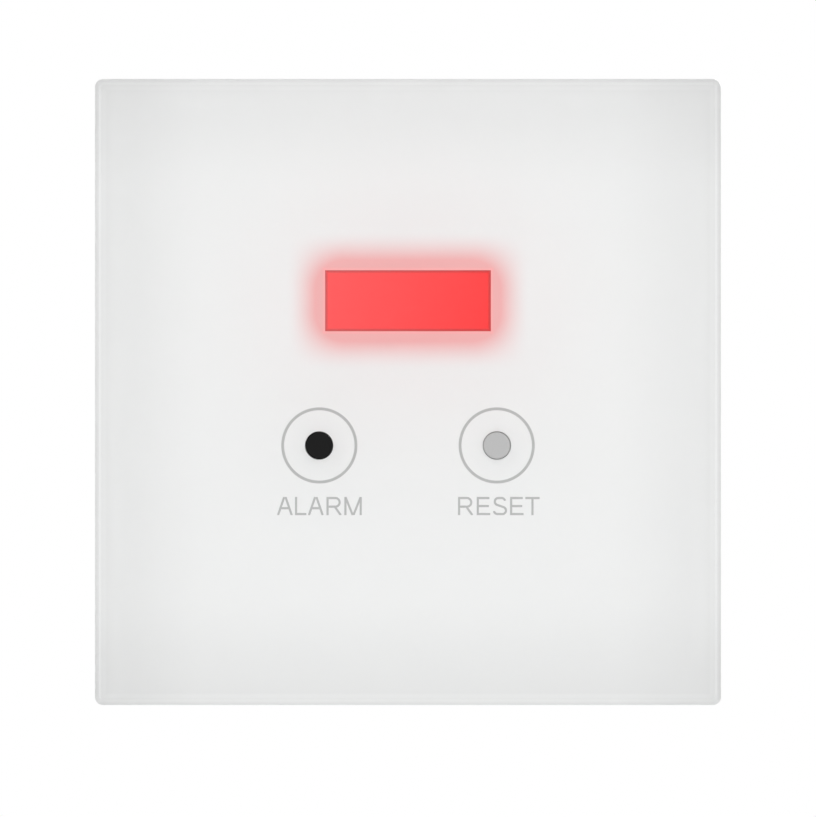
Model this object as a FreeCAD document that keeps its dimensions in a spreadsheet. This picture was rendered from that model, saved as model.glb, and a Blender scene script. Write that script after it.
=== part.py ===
import FreeCAD, Part
import math
import os
import re

import Sketcher

# Alarm display panel: a square glass front with a lit window and two push-buttons, snapped on a steel
# plate that is screwed over a flush wall box, with the power board in a housing inside that box.
#
# Row frame: X to the right, Z up, the glass looks along -Y and the wall plane is Y = 0.
# Each piece is drawn flat: its own x runs right, its y runs up and its z is the height in front of the
# wall plane, below zero inside the wall box. stand() then turns the piece upright.

# Driving dimensions in millimetres: name, value, meaning.
SIZES = (
    ("glass_side", 86.0, "side of the square glass"),
    ("glass_thickness", 4.0, "thickness of the glass"),
    ("glass_corner", 1.1, "corner radius of the glass, seen from the front"),
    ("glass_edge", 0.9, "rounding of the glass's front edge"),
    ("glass_bevel", 0.3, "bevel of the glass's rear edge"),
    ("projection", 10.5, "front of the glass above the wall plane"),
    ("print_thickness", 0.2, "white print on the back of the glass"),
    ("print_gap", 0.04, "room for the grey print between the glass and the white print"),
    ("print_inset", 0.3, "bare rim between the print and the glass's side"),
    ("window_width", 22.8, "clear window in the print"),
    ("window_height", 8.4, "clear window in the print"),
    ("window_up", 12.55, "window's centre above the panel's centre"),
    ("key_spacing", 24.4, "distance between the two keys"),
    ("key_down", 7.35, "keys' centres below the panel's centre"),
    ("key_hole", 3.9, "hole for a key through glass, print and deck"),
    ("key_gap", 0.1, "radial gap round a key"),
    ("key_proud", 0.5, "key's top in front of the glass"),
    ("key_travel", 0.5, "how far a key can be pressed"),
    ("key_edge", 0.15, "bevel of a key's top"),
    ("collar_width", 1.2, "ring of a key's collar outside its hole"),
    ("collar_thickness", 1.0, "thickness of a key's collar"),
    ("tape_thickness", 0.5, "adhesive tape between print and deck"),
    ("tape_width", 7.0, "width of the tape"),
    ("tape_inset", 0.6, "tape's edge inside the frame's edge"),
    ("frame_inset", 0.8, "frame's side inside the glass's side"),
    ("frame_corner", 1.2, "corner radius of the frame"),
    ("deck_thickness", 1.9, "thickness of the frame's deck"),
    ("skirt_wall", 1.8, "thickness of the frame's skirt"),
    ("post_right", 17.2, "screw posts' distance from the upright centre line"),
    ("post_up", 15.5, "screw posts' distance from the level centre line"),
    ("post_diameter", 5.0, "diameter of a screw post"),
    ("rest_side", 4.0, "side of a plain rest under a board"),
    ("rib_height", 1.0, "stiffening ribs behind the deck"),
    ("rib_thickness", 1.2, "stiffening ribs behind the deck"),
    ("rib_place", 4.0, "ribs beside the plate's opening"),
    ("rib_end", 2.6, "ribs' ends short of the plate's edges"),
    ("leg_spacing", 36.0, "distance between the two snap legs of one side"),
    ("leg_width", 8.0, "width of a snap leg"),
    ("leg_thickness", 1.3, "thickness of a snap leg"),
    ("leg_gap", 0.3, "gap between a snap leg and its tab"),
    ("barb_reach", 1.1, "how far a barb reaches into its tab"),
    ("barb_tip", 0.5, "flat tip of a barb"),
    ("barb_ramp", 1.0, "slope behind a barb's tip"),
    ("leg_foot", 0.4, "gap between a snap leg's foot and the wall"),
    ("slot_width", 1.4, "sound slot"),
    ("slot_rise", 2.4, "sound slot"),
    ("slot_pitch", 2.8, "distance between sound slots"),
    ("slot_count", 7, "number of sound slots"),
    ("notch_width", 8.0, "pry notch in the skirt's rim"),
    ("notch_depth", 1.2, "pry notch in the skirt's rim"),
    ("notch_place", 24.0, "pry notch's distance from the middle of the lower side"),
    ("lens_lap", 0.6, "lens beyond the window on each side"),
    ("lens_gap", 0.1, "gap between the lens and the deck"),
    ("lens_flange", 1.0, "flange behind the deck, on each side"),
    ("flange_thickness", 0.6, "flange behind the deck"),
    ("box_wall", 1.2, "light box's wall outside the lens flange"),
    ("box_step", 2.0, "narrowing of the light box from the lens to the lamps"),
    ("lamp_length", 3.5, "surface-mount lamp"),
    ("lamp_width", 2.8, "surface-mount lamp"),
    ("lamp_height", 0.8, "surface-mount lamp"),
    ("lamp_pitch", 7.0, "distance between lamps"),
    ("lamp_count", 3, "number of lamps in the row"),
    ("board_thickness", 1.6, "both boards"),
    ("board_sink", 1.0, "control board's front behind the wall plane"),
    ("plate_thickness", 1.2, "steel plate"),
    ("plate_gap", 4.4, "gap between the plate and the skirt"),
    ("plate_corner", 2.5, "cropped corners of the plate"),
    ("plate_clearance", 1.0, "gap round the control board in the plate's opening"),
    ("tab_width", 12.0, "bent tab for a snap leg"),
    ("tab_height", 3.4, "bent tab's tip above the wall plane"),
    ("tab_margin", 0.5, "window in a tab beyond the barb, on each side"),
    ("tab_lip", 0.5, "tab above its window"),
    ("tab_window", 1.4, "height of a tab's window"),
    ("relief_width", 1.2, "relief cut beside a bent tab"),
    ("relief_depth", 2.6, "relief cut beside a bent tab"),
    ("bend_outside", 1.0, "outer radius of a bend"),
    ("bend_inside", 0.6, "inner radius of a bend"),
    ("fixing_spacing", 60.3, "distance between the wall box's two screws"),
    ("fixing_width", 4.2, "slot for a wall screw"),
    ("fixing_length", 7.0, "slot for a wall screw, end to end"),
    ("housing_side", 50.0, "outer side of the rear housing"),
    ("housing_corner", 13.0, "outer corner radius of the rear housing"),
    ("housing_depth", 19.5, "depth of the rear housing behind the wall plane"),
    ("housing_wall", 2.0, "walls and floor of the rear housing"),
    ("housing_edge", 1.2, "bevel of the rear housing's back edge"),
    ("main_gap", 0.5, "gap round the main board"),
    ("stand_height", 2.3, "rests under the main board"),
    ("rest_place", 16.5, "those rests' distance from the centre lines"),
    ("nib_reach", 0.9, "snap nib over the main board's edge"),
    ("nib_rise", 1.8, "slope of a snap nib"),
    ("nib_width", 6.0, "width of a snap nib"),
    ("nib_place", 9.0, "snap nibs' distance from the level centre line"),
    ("nib_gap", 0.05, "play between a snap nib and the board"),
    ("ear_width", 8.0, "ear for a housing screw"),
    ("ear_reach", 4.8, "ear beyond the housing's side"),
    ("ear_depth", 8.0, "depth of an ear behind the wall plane"),
    ("ear_corner", 3.0, "outer corners of an ear"),
    ("vent_width", 14.0, "vent slot in the housing's back"),
    ("vent_height", 1.4, "vent slot in the housing's back"),
    ("vent_pitch", 3.0, "distance between vent slots"),
    ("vent_count", 4, "number of vent slots"),
    ("vent_down", 17.0, "lowest vent slot below the centre"),
    ("pole_pitch", 3.81, "distance between the poles of the wiring header"),
    ("pole_count", 5, "number of poles"),
    ("header_end", 0.8, "header's end beyond its outer poles"),
    ("header_height", 7.2, "wiring header"),
    ("header_depth", 9.2, "wiring header behind the main board"),
    ("header_wall", 0.9, "wiring header"),
    ("header_floor", 2.6, "wiring header's floor at the main board"),
    ("header_up", 10.0, "wiring header's centre above the centre"),
    ("header_gap", 0.3, "gap round the header in the housing's back"),
    ("groove_width", 1.9, "keying groove in the header's upper wall"),
    ("groove_depth", 0.4, "keying groove in the header's upper wall"),
    ("pin_width", 1.0, "square pin of the wiring header"),
    ("pin_tip", 1.4, "pin's tip inside the header's mouth"),
    ("pin_gap", 0.05, "gap round a pin in its block"),
    ("link_pitch", 2.54, "distance between the link's pins"),
    ("link_count", 6, "number of pins in the link"),
    ("link_pin", 0.64, "square pin of the link"),
    ("link_width", 2.5, "width of the link's two blocks"),
    ("link_base", 2.5, "height of the link's pin block"),
    ("link_space", 11.0, "gap between the two boards"),
    ("link_depth", 6.0, "how far the link's pins reach into the socket"),
    ("link_down", 15.5, "link's centre below the centre"),
    ("screw_diameter", 2.0, "small self-tapping screw"),
    ("screw_head", 3.8, "its head"),
    ("screw_head_height", 1.3, "its head"),
    ("screw_length", 4.8, "shank of a board screw"),
    ("screw_slack", 0.3, "clearance hole of a screw, on the diameter"),
    ("screw_bite", 0.05, "radial gap of a shank in its boss"),
    ("housing_screw_length", 7.0, "shank of a housing screw"),
    ("switch_side", 6.0, "side of a tact switch"),
    ("switch_corner", 0.4, "cropped corners of a tact switch"),
    ("switch_cover", 0.3, "sheet-metal cover of a tact switch"),
    ("switch_overrun", 0.2, "space left over the switch when the key is pressed"),
    ("switch_floor", 0.6, "floor under the switch's stem"),
    ("stem_diameter", 3.5, "stem of a tact switch"),
    ("stem_gap", 0.1, "radial gap round the stem"),
    ("buzzer_diameter", 12.0, "sounder"),
    ("buzzer_height", 4.2, "sounder"),
    ("buzzer_port", 2.4, "sound hole in the sounder's face"),
    ("buzzer_well", 1.2, "depth of that hole"),
    ("buzzer_down", 11.5, "sounder's centre below the centre"),
    ("chip_side", 7.0, "controller chip"),
    ("chip_height", 1.4, "controller chip"),
    ("chip_edge", 0.3, "bevel of a chip's face"),
    ("chip_up", 8.0, "controller chip's centre above the centre"),
    ("relay_length", 14.0, "relay"),
    ("relay_width", 9.0, "relay"),
    ("relay_height", 5.2, "relay"),
    ("relay_corner", 0.5, "relay"),
    ("relay_left", 10.0, "relay's centre left of the centre"),
    ("relay_up", 10.0, "relay's centre above the centre"),
    ("can_diameter", 6.3, "capacitor can"),
    ("can_height", 7.0, "capacitor can"),
    ("can_pitch", 7.6, "distance between the two capacitors"),
    ("can_right", 10.5, "capacitors' middle right of the centre"),
    ("can_up", 11.0, "capacitors' centres above the centre"),
    ("regulator_side", 6.4, "regulator"),
    ("regulator_height", 2.3, "regulator"),
    ("regulator_right", 12.0, "regulator's centre right of the centre"),
    ("regulator_up", 2.5, "regulator's centre above the centre"),
)
SIZES_BY_NAME = {name: value for name, value, meaning in SIZES}

# Heights in front of the wall plane, from the glass back to the boards.
GLASS_BACK = "(projection - glass_thickness)"
PRINT_FRONT = f"({GLASS_BACK} - print_gap)"
PRINT_BACK = f"({PRINT_FRONT} - print_thickness)"
DECK_FRONT = f"({PRINT_BACK} - tape_thickness)"
DECK_BACK = f"({DECK_FRONT} - deck_thickness)"
COLLAR_FRONT = f"({DECK_BACK} - key_gap)"
COLLAR_BACK = f"({COLLAR_FRONT} - collar_thickness)"
FLANGE_BACK = f"({DECK_BACK} - flange_thickness)"
BOARD_FRONT = "(-board_sink)"
BOARD_BACK = f"({BOARD_FRONT} - board_thickness)"
MAIN_FRONT = f"({BOARD_BACK} - link_space)"
MAIN_BACK = f"({MAIN_FRONT} - board_thickness)"
FLOOR_FRONT = f"({MAIN_BACK} - stand_height)"
HOUSING_BACK = "(-housing_depth)"

# Widths that follow from the driving dimensions.
FRAME_SIDE = "(glass_side - 2 * frame_inset)"
FRAME_INSIDE = f"({FRAME_SIDE} - 2 * skirt_wall)"
PLATE_SIDE = f"({FRAME_INSIDE} - 2 * plate_gap)"
CAVITY_SIDE = "(housing_side - 2 * housing_wall)"
CAVITY_CORNER = "(housing_corner - housing_wall)"
MAIN_SIDE = f"({CAVITY_SIDE} - 2 * main_gap)"
PLATE_OPENING = f"({CAVITY_SIDE} - 2 * plate_clearance)"
BOARD_SIDE = f"({PLATE_OPENING} - 2 * plate_clearance)"
LENS_WIDTH = "(window_width + 2 * lens_lap)"
LENS_HEIGHT = "(window_height + 2 * lens_lap)"
EAR_PLACE = "(housing_side / 2 + ear_reach / 2)"
PILOT = "(screw_diameter + 2 * screw_bite)"
SCREW_HOLE = "(screw_diameter + screw_slack)"
KEY_PLACES = {"alarm": "-key_spacing / 2", "reset": "key_spacing / 2"}
SCREWED_CORNERS = (("-", "-"), ("", ""))
PLAIN_CORNERS = (("", "-"), ("-", ""))

# Two lengths closer than this are taken as equal when edges are picked.
FINE = 0.001

doc = FreeCAD.newDocument("AlarmDisplayPanel")
sheet = doc.addObject("Spreadsheet::Sheet", "sizes")
pieces = []


def fill_sheet():
    for row, (name, value, meaning) in enumerate(SIZES, 1):
        sheet.set(f"A{row}", name)
        sheet.set(f"B{row}", str(value))
        sheet.set(f"C{row}", meaning)
        sheet.setAlias(f"B{row}", name)
    doc.recompute()


def tied(formula):
    """The formula with each size's name written as a reference to the sheet."""
    return re.sub(r"[a-z_]+", lambda word: ("sizes." if word[0] in SIZES_BY_NAME else "") + word[0], formula)


def tie(feature, **formulas):
    for name, formula in formulas.items():
        feature.setExpression(name, tied(formula))


def stand(item, right="0", height="0", up="0", facing="room"):
    """Turn a flat drawn piece upright and put its origin in its place."""
    turn = 90 if facing == "room" else -90
    item.Placement = FreeCAD.Placement(FreeCAD.Vector(), FreeCAD.Rotation(FreeCAD.Vector(1, 0, 0), turn))
    item.setExpression("Placement.Base.x", tied(right))
    item.setExpression("Placement.Base.y", tied(f"-({height})"))
    item.setExpression("Placement.Base.z", tied(up))


def name_piece(item, label):
    item.Label = label
    pieces.append(item)
    return item


def new_body(label, right="0", height="0", up="0"):
    body = doc.addObject("PartDesign::Body", label + "_body")
    stand(body, right, height, up)
    return name_piece(body, label)


def new_sketch(body, name, height="0", role="XY_Plane"):
    sketch = body.newObject("Sketcher::SketchObject", name)
    plane = next(item for item in body.Origin.OriginFeatures if item.Role == role)
    sketch.AttachmentSupport = (plane, [""])
    sketch.MapMode = "FlatFace"
    sketch.setExpression("AttachmentOffset.Base.z", tied(height))
    return sketch


def tie_point(sketch, geometry, point, right, up):
    """Tie one point of the sketch to its distances from the sketch's origin."""
    for kind, formula in (("DistanceX", right), ("DistanceY", up)):
        number = sketch.addConstraint(Sketcher.Constraint(kind, -1, 1, geometry, point, 1.0))
        sketch.setExpression(f"Constraints[{number}]", tied(formula))


def draw_path(sketch, points):
    """A closed outline of straight lines through tied corners."""
    first = sketch.GeometryCount
    count = len(points)
    for number in range(count):
        start = FreeCAD.Vector(number, number * number, 0)
        following = (number + 1) % count
        end = FreeCAD.Vector(following, following * following, 0)
        sketch.addGeometry(Part.LineSegment(start, end), False)
    for number, (right, up) in enumerate(points):
        before = first + (number - 1) % count
        sketch.addConstraint(Sketcher.Constraint("Coincident", before, 2, first + number, 1))
        tie_point(sketch, first + number, 1, right, up)


def draw_rectangle(sketch, width, height, right="0", up="0"):
    left, far = f"{right} - ({width}) / 2", f"{right} + ({width}) / 2"
    low, high = f"{up} - ({height}) / 2", f"{up} + ({height}) / 2"
    draw_path(sketch, ((left, low), (far, low), (far, high), (left, high)))


def draw_circle(sketch, diameter, right="0", up="0"):
    circle = sketch.addGeometry(Part.Circle(FreeCAD.Vector(), FreeCAD.Vector(0, 0, 1), 1.0), False)
    tie_point(sketch, circle, 3, right, up)
    number = sketch.addConstraint(Sketcher.Constraint("Diameter", circle, 2.0))
    sketch.setExpression(f"Constraints[{number}]", tied(diameter))


def draw_rounded(sketch, width, height, radius, right="0", up="0"):
    """A rectangle with round corners."""
    first = sketch.GeometryCount
    reach, bend = 2.0, 1.0
    upward = FreeCAD.Vector(0, 0, 1)
    turns = ((1, 1), (-1, 1), (-1, -1), (1, -1))
    for number, (x, y) in enumerate(turns):
        start = number * math.pi / 2
        circle = Part.Circle(FreeCAD.Vector(x * (reach - bend), y * (reach - bend), 0), upward, bend)
        sketch.addGeometry(Part.ArcOfCircle(circle, start, start + math.pi / 2), False)
        corner, following = sketch.Geometry[-1], turns[(number + 1) % 4]
        end = FreeCAD.Vector(corner.EndPoint)
        along = FreeCAD.Vector(following[0] - x, following[1] - y, 0)
        sketch.addGeometry(Part.LineSegment(end, end + along * (reach - bend)), False)
    for number in range(8):
        following = first + (number + 1) % 8
        sketch.addConstraint(Sketcher.Constraint("Tangent", first + number, 2, following, 1))
    for number, (x, y) in enumerate(turns):
        arc = first + 2 * number
        across = f"{right} + {x} * (({width}) / 2 - ({radius}))"
        along = f"{up} + {y} * (({height}) / 2 - ({radius}))"
        tie_point(sketch, arc, 3, across, along)
        if number:
            sketch.addConstraint(Sketcher.Constraint("Equal", first, arc))
    number = sketch.addConstraint(Sketcher.Constraint("Radius", first, bend))
    sketch.setExpression(f"Constraints[{number}]", tied(radius))


def pad(body, sketch, length, name="Pad"):
    """Add material from the sketch toward the room."""
    feature = body.newObject("PartDesign::Pad", name)
    feature.Profile = sketch
    tie(feature, Length=length)
    return feature


def pocket(body, sketch, length=None, toward_room=False, name="Pocket"):
    """Cut from the sketch toward the wall, right through where no length is given."""
    feature = body.newObject("PartDesign::Pocket", name)
    feature.Profile = sketch
    feature.Reversed = toward_room
    if length is None:
        feature.Type = "ThroughAll"
    else:
        tie(feature, Length=length)
    return feature


def solved(feature):
    doc.recompute()
    return feature


def edge_names(feature, chosen):
    return [f"Edge{number}" for number, edge in enumerate(solved(feature).Shape.Edges, 1) if chosen(edge)]


def upright(edge):
    box = edge.BoundBox
    return box.XLength < FINE and box.YLength < FINE


def at_height(feature, highest):
    """Test for the edges that lie in the feature's top or bottom plane."""
    box = solved(feature).Shape.BoundBox
    level = box.ZMax if highest else box.ZMin
    return lambda edge: abs(edge.BoundBox.ZMin - level) < FINE and abs(edge.BoundBox.ZMax - level) < FINE


def fillet(body, feature, chosen, radius, name="Fillet"):
    rounding = body.newObject("PartDesign::Fillet", name)
    rounding.Base = (feature, edge_names(feature, chosen))
    tie(rounding, Radius=radius)
    return rounding


def chamfer(body, feature, chosen, size, name="Chamfer"):
    bevel = body.newObject("PartDesign::Chamfer", name)
    bevel.Base = (feature, edge_names(feature, chosen))
    tie(bevel, Size=size)
    return bevel


def plate(body, side, back, thickness, corner):
    """A square slab, centred, from its back height toward the room, with round corners."""
    sketch = new_sketch(body, "Outline", back)
    draw_rounded(sketch, side, side, corner)
    return pad(body, sketch, thickness, "Slab")


def cropped_plate(body, side, back, thickness, corner):
    """The same slab with its corners cut off straight."""
    block = pad(body, square_sketch(body, side, back), thickness, "Slab")
    return chamfer(body, block, upright, corner, "CroppedCorners")


def square_sketch(body, side, height):
    sketch = new_sketch(body, "Outline", height)
    draw_rectangle(sketch, side, side)
    return sketch


def turned(body, outline):
    """A turned solid: the outline's points are radius and height."""
    sketch = new_sketch(body, "Profile", role="XZ_Plane")
    draw_path(sketch, outline)
    turning = body.newObject("PartDesign::Revolution", "Turning")
    turning.Profile = sketch
    turning.ReferenceAxis = (sketch, ["V_Axis"])
    turning.Angle = 360
    return turning


def row(body, feature, sketch, count, pitch, axis="H_Axis"):
    """Repeat a feature along a sketch axis."""
    pattern = body.newObject("PartDesign::LinearPattern", "Row")
    pattern.Originals = [feature]
    pattern.Direction = (sketch, [axis])
    pattern.Mode = "Spacing"
    tie(pattern, Occurrences=count, Offset=pitch)
    body.Tip = pattern
    return pattern


def row_start(count, pitch):
    return f"(-({count} - 1) * {pitch} / 2)"


def row_place(number, count, pitch):
    return f"({number} - ({count} - 1) / 2) * {pitch}"


def make_box(name, width, depth, height, right, base, up):
    """A block that starts at a height and grows toward the room, centred on its place."""
    block = doc.addObject("Part::Box", name)
    tie(block, Length=width, Width=depth, Height=height)
    stand(block, f"{right} - ({width}) / 2", base, f"{up} - ({depth}) / 2")
    return block


def make_bar(name, diameter, length, right, base, up):
    bar = doc.addObject("Part::Cylinder", name)
    tie(bar, Radius=f"({diameter}) / 2", Height=length)
    stand(bar, right, base, up)
    return bar


def group(label, items):
    compound = doc.addObject("Part::Compound", label + "_group")
    compound.Links = items
    return name_piece(compound, label)


# The glass and what is fixed to it


def make_front_glass():
    body = new_body("front_glass")
    slab = plate(body, "glass_side", GLASS_BACK, "glass_thickness", "glass_corner")
    front = fillet(body, slab, at_height(slab, True), "glass_edge", "FrontEdge")
    chamfer(body, front, at_height(front, False), "glass_bevel", "RearEdge")
    holes = new_sketch(body, "KeyHoles", "projection")
    for place in KEY_PLACES.values():
        draw_circle(holes, "key_hole", place, "-key_down")
    pocket(body, holes)


def make_back_print():
    body = new_body("back_print")
    plate(body, "glass_side - 2 * print_inset", PRINT_BACK, "print_thickness", "glass_corner")
    openings = new_sketch(body, "Openings", PRINT_FRONT)
    draw_rectangle(openings, "window_width", "window_height", up="window_up")
    for place in KEY_PLACES.values():
        draw_circle(openings, "key_hole", place, "-key_down")
    pocket(body, openings)


def make_adhesive_frame():
    body = new_body("adhesive_frame")
    side = f"({FRAME_SIDE} - 2 * tape_inset)"
    plate(body, side, DECK_FRONT, "tape_thickness", "frame_corner")
    inside = new_sketch(body, "Inside", PRINT_BACK)
    draw_rectangle(inside, f"{side} - 2 * tape_width", f"{side} - 2 * tape_width")
    pocket(body, inside)


def make_window_lens():
    body = new_body("window_lens")
    flange = new_sketch(body, "Flange", FLANGE_BACK)
    draw_rectangle(flange, f"{LENS_WIDTH} + 2 * lens_flange", f"{LENS_HEIGHT} + 2 * lens_flange", up="window_up")
    pad(body, flange, "flange_thickness", "FlangePad")
    stem = new_sketch(body, "Stem", DECK_BACK)
    draw_rectangle(stem, LENS_WIDTH, LENS_HEIGHT, up="window_up")
    pad(body, stem, f"{PRINT_BACK} - {DECK_BACK}", "StemPad")


# The moulded frame


def make_front_frame():
    body = new_body("front_frame")
    plate(body, FRAME_SIDE, "0", DECK_FRONT, "frame_corner")
    inside = square_sketch(body, FRAME_INSIDE, "0")
    pocket(body, inside, DECK_BACK, toward_room=True, name="Hollow")
    add_frame_ribs(body)
    add_frame_posts(body)
    cut_frame_deck(body)
    for side in ("", "-"):
        add_snap_legs(body, side)
    cut_frame_skirt(body)


def add_frame_ribs(body):
    """An upright rib behind the deck on each side of the boards."""
    ribs = new_sketch(body, "Ribs", f"{DECK_BACK} - rib_height")
    place = f"({PLATE_OPENING} / 2 + rib_place)"
    for side in ("", "-"):
        draw_rectangle(ribs, "rib_thickness", f"{PLATE_SIDE} - 2 * rib_end", f"{side}{place}")
    pad(body, ribs, "rib_height", "RibPad")


def add_frame_posts(body):
    """What the control board lies on: two screw posts and two plain rests."""
    posts = new_sketch(body, "Posts", BOARD_FRONT)
    pilots = new_sketch(body, "Pilots", BOARD_FRONT)
    for left, low in SCREWED_CORNERS:
        draw_circle(posts, "post_diameter", f"{left}post_right", f"{low}post_up")
        draw_circle(pilots, PILOT, f"{left}post_right", f"{low}post_up")
    for left, low in PLAIN_CORNERS:
        draw_rectangle(posts, "rest_side", "rest_side", f"{left}post_right", f"{low}post_up")
    pad(body, posts, f"{DECK_BACK} - {BOARD_FRONT}", "PostPad")
    pocket(body, pilots, "screw_length - board_thickness + screw_slack", toward_room=True, name="PilotHoles")


def cut_frame_deck(body):
    openings = new_sketch(body, "DeckOpenings", DECK_FRONT)
    width, height = f"{LENS_WIDTH} + 2 * lens_gap", f"{LENS_HEIGHT} + 2 * lens_gap"
    draw_rectangle(openings, width, height, up="window_up")
    for place in KEY_PLACES.values():
        draw_circle(openings, "key_hole", place, "-key_down")
    pocket(body, openings, "deck_thickness", name="DeckCut")


def add_snap_legs(body, side):
    """Two legs with barbs for the plate's tabs, above or below."""
    face = f"({PLATE_SIDE} / 2 + leg_gap)"
    legs = new_sketch(body, "Legs", "leg_foot")
    for turn in ("", "-"):
        centre = f"{side}({face} + leg_thickness / 2)"
        draw_rectangle(legs, "leg_width", "leg_thickness", f"{turn}leg_spacing / 2", centre)
    pad(body, legs, f"{DECK_BACK} - leg_foot", "LegPad")
    for turn in ("", "-"):
        barb = new_sketch(body, "Barb", f"{turn}leg_spacing / 2", role="YZ_Plane")
        tip = f"{side}({face} - barb_reach)"
        root = f"{side}({face} + leg_thickness / 2)"
        catch = "(tab_height - tab_lip - leg_gap)"
        draw_path(barb, (
            (root, catch), (tip, catch), (tip, f"{catch} - barb_tip"), (root, f"{catch} - barb_tip - barb_ramp")))
        wedge = pad(body, barb, "leg_width", "BarbPad")
        wedge.SideType = "Symmetric"


def cut_frame_skirt(body):
    """Sound slots in the middle of the lower side, and a pry notch on each side of them."""
    slots = new_sketch(body, "SoundSlot", f"{FRAME_SIDE} / 2 - skirt_wall - leg_gap", role="XZ_Plane")
    first = row_start("slot_count", "slot_pitch")
    draw_rectangle(slots, "slot_width", "slot_rise", first, f"{DECK_BACK} / 2")
    slot = pocket(body, slots, "skirt_wall + 2 * leg_gap", toward_room=True, name="SlotCut")
    row(body, slot, slots, "slot_count", "slot_pitch")
    notches = new_sketch(body, "Notches", f"{FRAME_SIDE} / 2 - skirt_wall - leg_gap", role="XZ_Plane")
    for side in ("", "-"):
        draw_rectangle(notches, "notch_width", "2 * notch_depth", f"{side}notch_place")
    pocket(body, notches, "skirt_wall + 2 * leg_gap", toward_room=True, name="NotchCut")


# Keys and their switches


def make_plunger(key):
    body = new_body(f"{key}_plunger", KEY_PLACES[key], "0", "-key_down")
    cap = "(key_hole / 2 - key_gap)"
    collar = "(key_hole / 2 + collar_width)"
    top = "projection + key_proud"
    turning = turned(body, (
        ("0", COLLAR_BACK), (collar, COLLAR_BACK), (collar, COLLAR_FRONT), (cap, COLLAR_FRONT),
        (cap, top), ("0", top)))
    chamfer(body, turning, at_height(turning, True), "key_edge", "TopEdge")


def make_switch(key):
    place = (KEY_PLACES[key], BOARD_FRONT, "-key_down")
    height = f"({COLLAR_BACK} - {BOARD_FRONT} - key_travel - switch_overrun)"
    bore = "(stem_diameter + 2 * stem_gap)"
    body = new_body(f"{key}_switch_body", *place)
    cropped_plate(body, "switch_side", "0", f"{height} - switch_cover", "switch_corner")
    well = new_sketch(body, "Well", f"{height} - switch_cover")
    draw_circle(well, bore)
    pocket(body, well, f"{height} - switch_cover - switch_floor", name="WellCut")
    cover = new_body(f"{key}_switch_cover", *place)
    cropped_plate(cover, "switch_side", f"{height} - switch_cover", "switch_cover", "switch_corner")
    hole = new_sketch(cover, "Hole", height)
    draw_circle(hole, bore)
    pocket(cover, hole)
    stem = new_body(f"{key}_switch_stem", *place)
    foot = "(switch_floor + key_travel + stem_gap)"
    turned(stem, (
        ("0", foot), ("stem_diameter / 2", foot), ("stem_diameter / 2", f"{COLLAR_BACK} - {BOARD_FRONT}"),
        ("0", f"{COLLAR_BACK} - {BOARD_FRONT}")))


# The control board and its parts


def make_control_board():
    body = new_body("control_board")
    plate(body, BOARD_SIDE, BOARD_BACK, "board_thickness", f"{CAVITY_CORNER} - 2 * plate_clearance")
    holes = new_sketch(body, "ScrewHoles", BOARD_FRONT)
    for left, low in SCREWED_CORNERS:
        draw_circle(holes, SCREW_HOLE, f"{left}post_right", f"{low}post_up")
    pocket(body, holes)


def make_light_box():
    body = new_body("light_box")
    rim_width = f"({LENS_WIDTH} + 2 * lens_flange)"
    rim_height = f"({LENS_HEIGHT} + 2 * lens_flange)"
    outline = new_sketch(body, "Outline", BOARD_FRONT)
    draw_rectangle(outline, f"{rim_width} + 2 * box_wall", f"{rim_height} + 2 * box_wall", up="window_up")
    pad(body, outline, f"{DECK_BACK} - {BOARD_FRONT}", "Block")
    seat = new_sketch(body, "FlangeSeat", DECK_BACK)
    draw_rectangle(seat, f"{rim_width} + 2 * lens_gap", f"{rim_height} + 2 * lens_gap", up="window_up")
    pocket(body, seat, "flange_thickness", name="SeatCut")
    mouth = new_sketch(body, "Mouth", FLANGE_BACK)
    draw_rectangle(mouth, LENS_WIDTH, LENS_HEIGHT, up="window_up")
    throat = new_sketch(body, "Throat", BOARD_FRONT)
    draw_rectangle(throat, f"{LENS_WIDTH} - box_step", f"{LENS_HEIGHT} - box_step", up="window_up")
    funnel = body.newObject("PartDesign::SubtractiveLoft", "Reflector")
    funnel.Profile = mouth
    funnel.Sections = [throat]
    funnel.Ruled = True
    body.Tip = funnel


def make_indicator_leds():
    lamps = []
    for number in range(SIZES_BY_NAME["lamp_count"]):
        right = row_place(number, "lamp_count", "lamp_pitch")
        lamps.append(make_box("Lamp", "lamp_length", "lamp_width", "lamp_height", right, BOARD_FRONT, "window_up"))
    group("indicator_leds", lamps)


def make_buzzer():
    body = new_body("buzzer", "0", BOARD_FRONT, "-buzzer_down")
    turned(body, (
        ("0", "0"), ("buzzer_diameter / 2", "0"), ("buzzer_diameter / 2", "buzzer_height"),
        ("buzzer_port / 2", "buzzer_height"), ("buzzer_port / 2", "buzzer_height - buzzer_well"),
        ("0", "buzzer_height - buzzer_well")))


def make_controller_chip():
    body = new_body("controller_chip", "0", BOARD_BACK, "chip_up")
    block = pad(body, square_sketch(body, "chip_side", "-chip_height"), "chip_height", "Block")
    chamfer(body, block, at_height(block, False), "chip_edge", "MouldEdge")


# The link between the boards


def make_link_block(label, low, height, hole_depth):
    """A plastic block with a row of square holes for the link's pins."""
    body = new_body(label, "0", low, "-link_down")
    outline = new_sketch(body, "Outline", "0")
    draw_rectangle(outline, "link_count * link_pitch", "link_width")
    pad(body, outline, height, "Block")
    holes = new_sketch(body, "PinHole", height)
    side = "link_pin + 2 * pin_gap"
    draw_rectangle(holes, side, side, row_start("link_count", "link_pitch"))
    hole = pocket(body, holes, hole_depth, name="HoleCut")
    row(body, hole, holes, "link_count", "link_pitch")


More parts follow.
